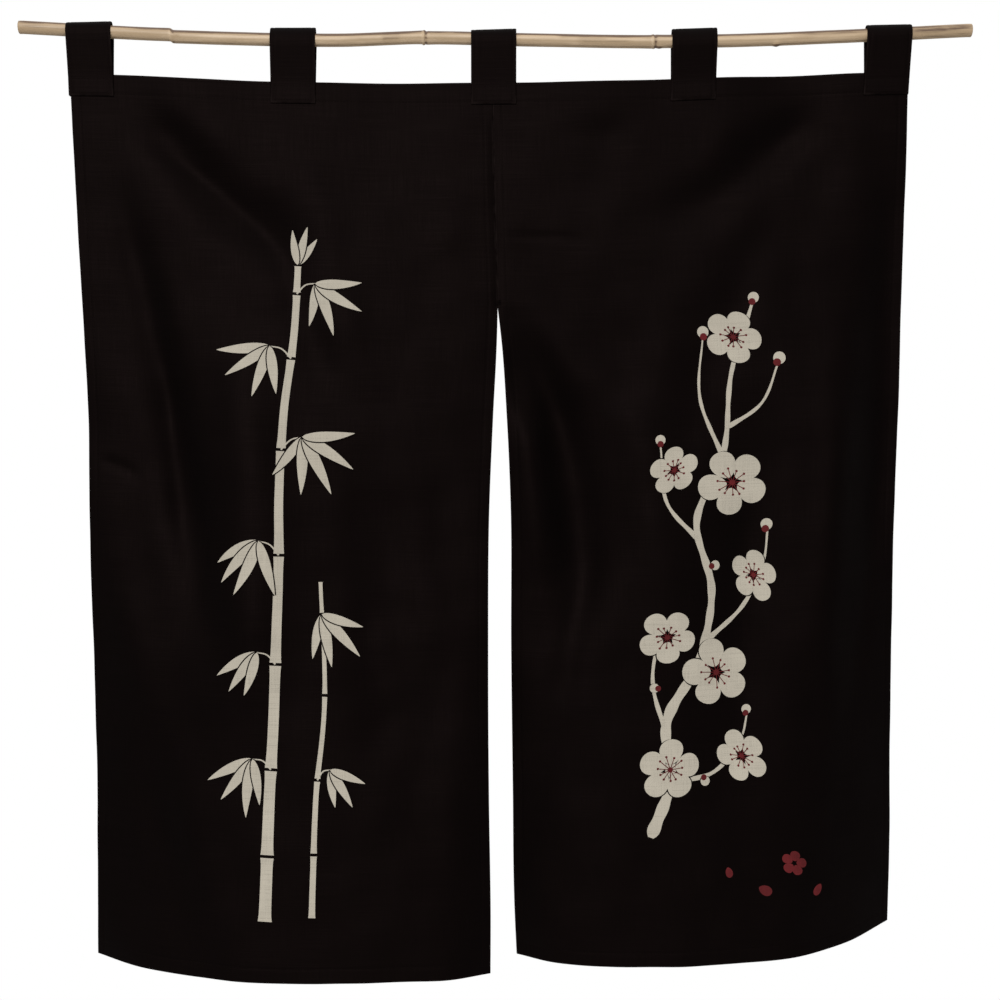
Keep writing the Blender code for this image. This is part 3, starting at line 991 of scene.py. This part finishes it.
def scar_spread(scar, x, angle, width):
    """1 at the middle of a scar, fading around it over the cane's skin."""
    turned = turned_from(angle, scar.angle) * ROD_RADIUS
    return np.exp(-((x - scar.x) ** 2 + turned ** 2) / width ** 2)


def cane_stations():
    """Places along the cane: an even run, with more at each joint and scar."""
    even = np.arange(ROD_LEFT, ROD_RIGHT, CANE_STEP)
    places = list(even) + [ROD_LEFT + CANE_BEVEL, ROD_RIGHT - CANE_BEVEL, ROD_RIGHT]
    for x in [mark.x for mark in (*JOINTS, *SCARS)]:
        places += list(x + np.arange(-CANE_FINE_REACH, CANE_FINE_REACH, CANE_FINE_STEP))
    places = np.unique(np.round(places, 5))
    return places[np.concatenate(((True,), np.diff(places) > CANE_BEVEL * 0.9))]


def cane_centre(x):
    depth, height = rod_axis(x)
    for joint in JOINTS:
        beyond = x - joint.x
        height = height + joint.jog * np.tanh(beyond / JOG_WIDTH) * np.exp(-np.abs(beyond) / JOG_FADE)
    return depth, height


def cane_radius(x, angle):
    radius = ROD_RADIUS * (1 + CANE_WAVE * np.sin(41 * x + 1) + CANE_WAVE * np.sin(97 * x + angle))
    for joint in JOINTS:
        beyond = x - joint.x
        slant = beyond - RING_SLANT * np.cos(angle + joint.x * 90)
        radius = radius + ROD_RADIUS * joint.ring * (
            JOINT_SWELL * bell(beyond, JOINT_SWELL_WIDTH) + bell(slant, RING_WIDTH)
            - RING_GROOVE * bell(slant - 2 * RING_WIDTH, 0.8 * RING_WIDTH))
    for scar in SCARS:
        radius = radius + scar.height * scar_spread(scar, x, angle, scar.size)
    return radius


def cane_tint(x, angle):
    """How brown the skin of the cane is, from -1 for pale to 1 for brown, with painted shade and light from
    some streak rows.
    """
    tint = np.zeros_like(x)
    for streak in STREAKS_AND_PAINTED_LIGHT:
        middle, half = (streak.x0 + streak.x1) / 2, (streak.x1 - streak.x0) / 2
        turned = np.degrees(turned_from(angle, streak.angle))
        along = smooth_step((half - np.abs(x - middle)) / (0.4 * half))
        tint = tint + streak.tint * along * bell(turned, streak.width)
    for joint in JOINTS:
        tint = tint + joint.tint * bell(x - joint.x - BROWN_RING, BROWN_RING_WIDTH)
        tint = tint - PALE_RING_TINT * bell(x - joint.x - PALE_RING, PALE_RING_WIDTH)
    for scar in SCARS:
        tint = tint + scar.tint * scar_spread(scar, x, angle, 0.7 * scar.size)
    return tint


def add_cane(material):
    """The cane's skin, its sawn ends and the bore in each."""
    places = cane_stations()
    x, angle = np.meshgrid(places, round_turn(CANE_SIDES), indexing="ij")
    depth, height = cane_centre(x)
    radius = cane_radius(x, angle)
    radius[0] -= CANE_BEVEL
    radius[-1] -= CANE_BEVEL
    skin = join(x, depth - radius * np.sin(angle), height + radius * np.cos(angle))
    tint = cane_tint(x, angle)

    none = np.zeros_like(tint)
    rings = [skin]
    marks = [join(tint, none, none)]
    for row, inwards in ((0, 1), (-1, -1)):
        centre = skin[row].mean(axis=0)
        way = skin[row] - centre
        inside = np.array((inwards * CANE_BORE_LENGTH, 0, 0))
        rings.append(np.stack([centre + way * end.share + inside * end.inside for end in CANE_END]))
        kinds = np.array([end.kind for end in CANE_END])[:, None] + none[:len(CANE_END)]
        marks.append(join(none[:len(CANE_END)], kinds, none[:len(CANE_END)]))

    faces = []
    offset = 0
    for ring, outward in zip(rings, (True, False, True)):
        quads = tube_faces(len(ring), CANE_SIDES) + offset
        faces.append(quads if outward else quads[:, ::-1])
        offset += len(ring) * CANE_SIDES
    points = np.concatenate([ring.reshape(-1, 3) for ring in rings])
    marks = np.concatenate([mark.reshape(-1, 3) for mark in marks])
    return make_piece("cane", points, np.concatenate(faces), material, marks)


class Recipe:
    """A material or world in the making: nodes added and joined by short calls."""

    def __init__(self, name="", world=None):
        self.made = world or bpy.data.materials.new(name)
        self.made.use_nodes = True
        self.tree = self.made.node_tree
        self.shader = self.tree.nodes.get("Principled BSDF")

    def feed(self, socket, value):
        """Join an output to a socket, or set the socket to a plain value."""
        if isinstance(value, bpy.types.NodeSocket):
            self.tree.links.new(value, socket)
        elif isinstance(value, tuple) and socket.type == "RGBA":
            socket.default_value = (*value, 1)
        else:
            socket.default_value = value

    def node(self, kind, inputs=(), **settings):
        """A node with its settings and with values by the name or number of its inputs."""
        made = self.tree.nodes.new("ShaderNode" + kind)
        for name, value in settings.items():
            setattr(made, name, value)
        for name, value in dict(inputs).items():
            self.feed(made.inputs[name], value)
        return made

    def math(self, operation, *values):
        return self.node("Math", enumerate(values), operation=operation).outputs[0]

    def parts(self, vector):
        return self.node("SeparateXYZ", {0: vector}).outputs

    def marks(self):
        return self.node("Attribute", attribute_name="marks").outputs["Vector"]

    def weighed(self, *pairs):
        """The sum of values, each times its weight."""
        total = 0
        for value, weight in pairs:
            total = self.math("MULTIPLY_ADD", value, weight, total)
        return total

    def noise(self, vector, factors, detail=2, roughness=0.5):
        """Noise with so many waves to the unit of each coordinate."""
        scaled = self.node("VectorMath", {0: vector, 1: factors}, operation="MULTIPLY")
        inputs = {"Vector": scaled.outputs[0], "Scale": 1, "Detail": detail, "Roughness": roughness}
        return self.node("TexNoise", inputs).outputs["Fac"]

    def ramp(self, value, low, high, to_low=0, to_high=1, shape="SMOOTHSTEP"):
        """Stretch a value from low..high to another range, held at its ends."""
        inputs = enumerate((value, low, high, to_low, to_high))
        return self.node("MapRange", inputs, interpolation_type=shape).outputs[0]

    def mix(self, amount, first, second):
        return self.node("Mix", {0: amount, 6: first, 7: second}, data_type="RGBA").outputs[2]

    def bump(self, height, distance):
        made = self.node("Bump", {"Distance": distance, "Strength": 1, "Height": height})
        self.feed(self.shader.inputs["Normal"], made.outputs[0])

    def finish(self, colour, roughness, **sockets):
        self.feed(self.shader.inputs["Base Color"], colour)
        self.feed(self.shader.inputs["Roughness"], roughness)
        for name, value in sockets.items():
            self.feed(self.shader.inputs[name.replace("_", " ")], value)
        return self.made


# Materials
THREAD_PITCH = 0.00052
WEAVE_BUMP = 0.00006
THREAD_BUMP = 0.00005
# Distances from the cloth's edges where the painted edge highlight is full and where it ends
EDGE_HIGHLIGHT_REACH = (0.0004, 0.0018)


def shade(colour, factor):
    return tuple(factor * part for part in colour)


def weave(recipe):
    """Height of the threads, how thick they are here, and the place on the cloth."""
    place = recipe.marks()
    across, down, edge = recipe.parts(place)
    warp, weft = (recipe.math("SINE", recipe.math("MULTIPLY", way, pi / THREAD_PITCH))
                  for way in (across, down))
    threads = recipe.math("MULTIPLY", warp, weft)
    upright = recipe.noise(place, (1150, 24, 0))
    level = recipe.noise(place, (18, 1050, 0))
    slubs = recipe.ramp(recipe.weighed((upright, 0.45), (level, 0.55)), 0.36, 0.66)
    return recipe.weighed((threads, 0.35), (slubs, 1)), slubs, place, edge


def cotton_material(name):
    """Dark brown plain-weave cotton, a little paler in patches along its edges from a painted highlight."""
    recipe = Recipe(name)
    height, slubs, place, edge = weave(recipe)
    cloud = recipe.noise(place, (9, 7, 0), 4, 0.6)
    colour = recipe.mix(recipe.weighed((slubs, 0.65), (cloud, 0.35)), CLOTH_DARK, CLOTH_LIGHT)
    patchy = recipe.ramp(recipe.noise(place, (60, 60, 0), 3), 0.40, 0.62)
    # Painted highlight: the cloth turns paler in patches next to its edges
    edge_highlight = recipe.math("MULTIPLY", recipe.ramp(edge, *EDGE_HIGHLIGHT_REACH, 1, 0), patchy)
    colour = recipe.mix(edge_highlight, colour, CLOTH_EDGE_HIGHLIGHT)
    recipe.bump(height, WEAVE_BUMP)
    roughness = recipe.ramp(slubs, 0, 1, 0.58, 0.52)
    return recipe.finish(colour, roughness, Specular_IOR_Level=0.047, Specular_Tint=CLOTH_GLOSS)


def print_material(name, colour, darker):
    """Ink that sits on the threads and leaves a little dark between them."""
    recipe = Recipe(name)
    height, slubs, place, _ = weave(recipe)
    cloud = recipe.noise(place, (30, 26, 0), 4, 0.6)
    mixed = recipe.mix(recipe.ramp(cloud, 0.35, 0.65), colour, darker)
    sunk = recipe.ramp(slubs, 0, 0.35, 0.16, 0)
    recipe.bump(height, WEAVE_BUMP)
    return recipe.finish(recipe.mix(sunk, mixed, CLOTH_LIGHT), 0.80, Specular_IOR_Level=0.20)


def thread_material():
    """Dark sewing thread with the twist of its plies."""
    recipe = Recipe("sewing_thread")
    place = recipe.node("TexCoord").outputs["Object"]
    twist = recipe.noise(place, (5200, 5200, 5200), 1)
    colour = recipe.mix(twist, shade(THREAD, 0.7), shade(THREAD, 1.4))
    recipe.bump(twist, THREAD_BUMP)
    return recipe.finish(colour, 0.50, Specular_IOR_Level=0.060, Specular_Tint=CLOTH_GLOSS)


def cane_material():
    """Smoked tan bamboo skin with brown streaks, fibres, pale rings and sawn ends, with painted shade and
    highlights in its streaks and painted shade in the bore.
    """
    recipe = Recipe("bamboo_cane")
    tint, kind, _ = recipe.parts(recipe.marks())
    place = recipe.node("TexCoord").outputs["Object"]
    fibres = recipe.noise(place, (14, 950, 950), 4, 0.65)
    blotches = recipe.noise(place, (30, 160, 160), 4, 0.6)
    uneven = recipe.ramp(blotches, 0.30, 0.70, 0.55, 1.45)
    marked = recipe.math("MULTIPLY", tint, uneven)
    strands = recipe.noise(place, (18, 400, 400), 3, 0.6)
    # The tint marks carry painted shade on the cane's top and painted light on its front and lower front
    brown = recipe.ramp(recipe.weighed((marked, 1), (fibres, 0.50), (strands, 0.80)), 0.62, 1.41)
    pale = recipe.ramp(recipe.math("MULTIPLY", marked, -1), 0, 0.9)
    skin = recipe.mix(brown, CANE_TAN, CANE_BROWN)
    skin = recipe.mix(pale, skin, CANE_PALE)
    grain = recipe.noise(place, (200, 1500, 1500), 2)
    wood = recipe.mix(recipe.ramp(grain, 0.35, 0.65), CANE_WOOD, shade(CANE_WOOD, 0.6))
    # The bore is painted dark as shade
    end = recipe.mix(recipe.ramp(kind, 0.65, 0.95), wood, CANE_BORE_SHADE)
    colour = recipe.mix(recipe.ramp(kind, 0.20, 0.45), skin, end)
    recipe.bump(recipe.weighed((fibres, 1), (blotches, 0.6)), CANE_BUMP)
    roughness = recipe.ramp(fibres, 0.3, 0.7, 0.34, 0.52)
    return recipe.finish(colour, roughness, Specular_IOR_Level=0.45)


# Stage and camera. One pixel of the 1000 pixel picture is 1.0125 mm at the rod's depth.
VIEW_DISTANCE = 1.500
VIEW_WIDTH = 1.0125
VIEW_CENTRE = (0.011, 0, -0.467)
SENSOR = 36
FLOOR_DROP = 1.900
FLOOR_RADIUS = 1.700
FLOOR_SIDES = 96
FILL_LOW = 0.30
FILL_HIGH = 0.90
FILL_FROM = 0.10
FILL_TO = 0.80
KEY_STRENGTH = 1.55
KEY_HEADING = 12
KEY_RISE = 18
KEY_SPREAD = 24


def add_camera():
    camera = add_object("camera", bpy.data.cameras.new("camera"))
    camera.data.sensor_fit = "HORIZONTAL"
    camera.data.sensor_width = SENSOR
    camera.data.lens = SENSOR * VIEW_DISTANCE / VIEW_WIDTH
    camera.location = (VIEW_CENTRE[0], -VIEW_DISTANCE, VIEW_CENTRE[2])
    camera.rotation_euler = (pi / 2, 0, 0)
    bpy.context.scene.camera = camera


def add_key_light():
    """A wide soft light from the upper left in front of the curtain."""
    light = bpy.data.lights.new("key", "SUN")
    light.energy = KEY_STRENGTH
    light.angle = radians(KEY_SPREAD)
    lamp = add_object("key", light)
    lamp.rotation_euler = (radians(90 - KEY_RISE), 0, radians(-KEY_HEADING))


def add_world():
    """White as a backdrop, and as light brighter from above than from the sides."""
    world = bpy.data.worlds.new("studio")
    recipe = Recipe(world=world)
    _, _, rise = recipe.parts(recipe.node("TexCoord").outputs["Generated"])
    strength = recipe.ramp(rise, FILL_FROM, FILL_TO, FILL_LOW, FILL_HIGH, "LINEAR")
    shown = recipe.tree.nodes["Background"]
    recipe.feed(shown.inputs["Color"], (1, 1, 1))
    fill = recipe.node("Background", {"Color": (1, 1, 1), "Strength": strength})
    seen = recipe.node("LightPath").outputs["Is Camera Ray"]
    mixed = recipe.node("MixShader", {0: seen, 1: fill.outputs[0], 2: shown.outputs[0]})
    recipe.feed(recipe.tree.nodes["World Output"].inputs["Surface"], mixed.outputs[0])
    bpy.context.scene.world = world


def add_floor():
    """A pale round floor at door height below the rod, which fades out at its rim."""
    recipe = Recipe("floor")
    x, y, _ = recipe.parts(recipe.node("TexCoord").outputs["Object"])
    radius = recipe.math("SQRT", recipe.weighed((x, x), (y, y)))
    shown = recipe.ramp(radius, 0.6 * FLOOR_RADIUS, FLOOR_RADIUS, 1, 0)
    material = recipe.finish((0.80, 0.79, 0.77), 0.9, Alpha=shown)
    points = [(FLOOR_RADIUS * cos(angle), FLOOR_RADIUS * sin(angle), 0)
              for angle in round_turn(FLOOR_SIDES)]
    mesh = bpy.data.meshes.new("floor")
    mesh.from_pydata(points, [], [range(len(points))])
    mesh.materials.append(material)
    floor = add_object("floor", mesh)
    floor.location = (0, 0, -FLOOR_DROP)


def add_bar(left, right, material):
    """Bars of thread across the head of the slit that keep the seam from tearing."""
    downs = SLIT_HEAD_DROP - top_drop(0) - BAR_ABOVE + BAR_PITCH * np.arange(BAR_THREADS)
    starts = left.at(join(np.full(BAR_THREADS, PANEL_FLAT[0] - BAR_REACH), downs), BAR_LIFT)
    ends = right.at(join(np.full(BAR_THREADS, BAR_REACH), downs), BAR_LIFT)
    normals = np.repeat(np.array(((0, -1, 0),)), BAR_THREADS, axis=0)
    return add_threads("slit_bar", starts, ends, normals, material)


def build():
    cotton = {name: cotton_material("cotton_" + name) for name in ("panels", "tabs")}
    outline = cotton_material("cotton_outlines")
    thread = thread_material()
    cream = print_material("print_cream", PRINT_CREAM, shade(PRINT_CREAM, 0.93))
    red = print_material("print_red", PRINT_RED, shade(PRINT_RED, 0.70))

    cane = add_cane(cane_material())
    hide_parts("rod")

    for tab in TABS:
        cloth = strap_cloth(tab)
        strap = cloth.build(tab.name + "_strap", cotton["tabs"])
        stitches = add_stitches(tab.name + "_stitches", cloth, strap_stitch_lines(), thread)
        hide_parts(tab.name)

    cloths = {side: panel_cloth(side) for side in ("left", "right")}
    bar = add_bar(cloths["left"], cloths["right"], thread)
    designs = {"left": lay_bamboo, "right": lay_plum}
    for side, cloth in cloths.items():
        inks = Inks(cloth)
        designs[side](inks, random.Random(PRINT_SEED))
        name = "panel_" + side
        panel = cloth.build(name + "_cloth", cotton["panels"])
        extras = [add_stitches(name + "_stitches", cloth, panel_stitch_lines(), thread),
                  inks.dark.build(name + "_print_outline", outline),
                  inks.cream.build(name + "_print_cream", cream)]
        if inks.red.count:
            extras.append(inks.red.build(name + "_print_red", red))
        if side == "left":
            extras.append(bar)
        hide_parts(name)


add_camera()
add_key_light()
add_world()
add_floor()
build()
bpy.context.scene.view_settings.view_transform = "Standard"
